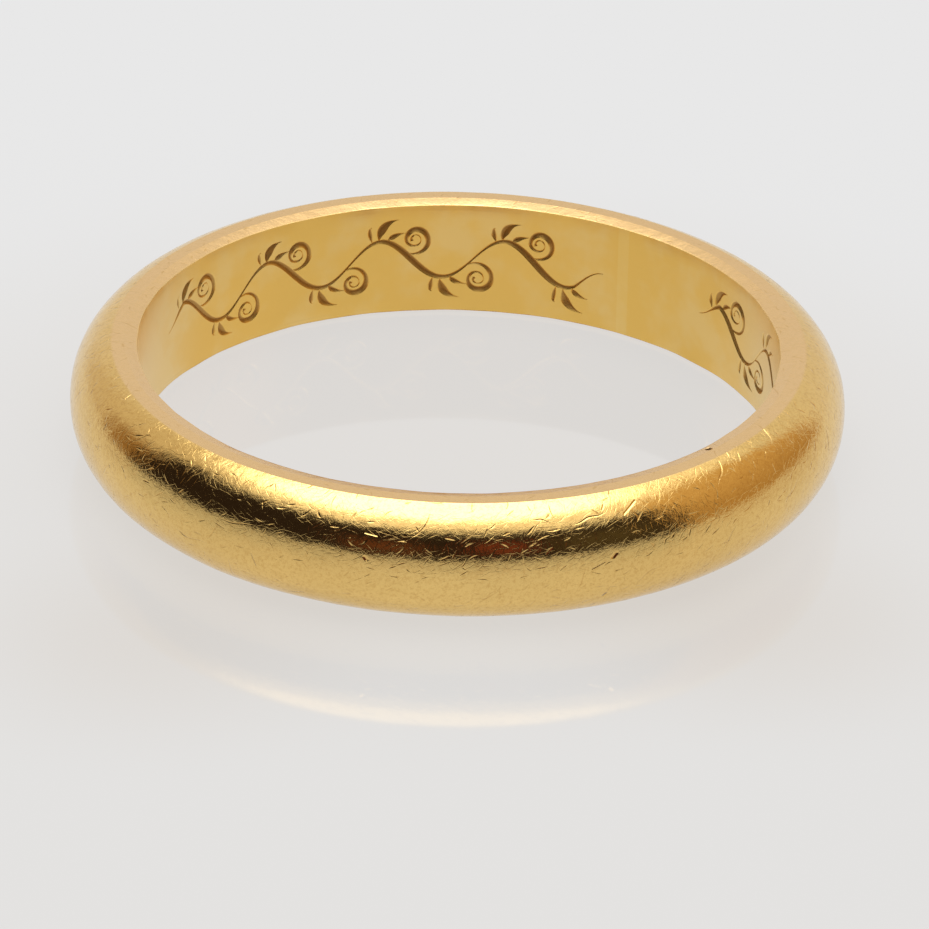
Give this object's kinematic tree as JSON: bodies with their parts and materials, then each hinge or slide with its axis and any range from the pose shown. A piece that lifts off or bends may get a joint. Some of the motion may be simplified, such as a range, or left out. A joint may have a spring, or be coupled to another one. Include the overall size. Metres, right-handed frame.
{
  "type": "wedding band",
  "caption": "Plain gold wedding band: a half-round hoop with a straight finger hole, a shallow bevel round each end of the hole, a soldered joint and ornament cut into the inside.",
  "frame": {"origin": "centre of the finger hole, halfway across the band's width", "axes": "+Z along the ring's axis, so the band lies on one flat side with -Z down; the soldered joint is 59 degrees from +X towards +Y"},
  "size_m": [0.0218, 0.0218, 0.0036],
  "materials": {
    "yellow_gold": "polished once, now worn satin with fine scratches outside, satin inside",
    "gold_solder": "filed and polished flush, slightly paler than the hoop"
  },
  "bodies": {
    "root": {"band_hoop": "yellow_gold", "solder_seam": "gold_solder"}
  },
  "joints": []
}
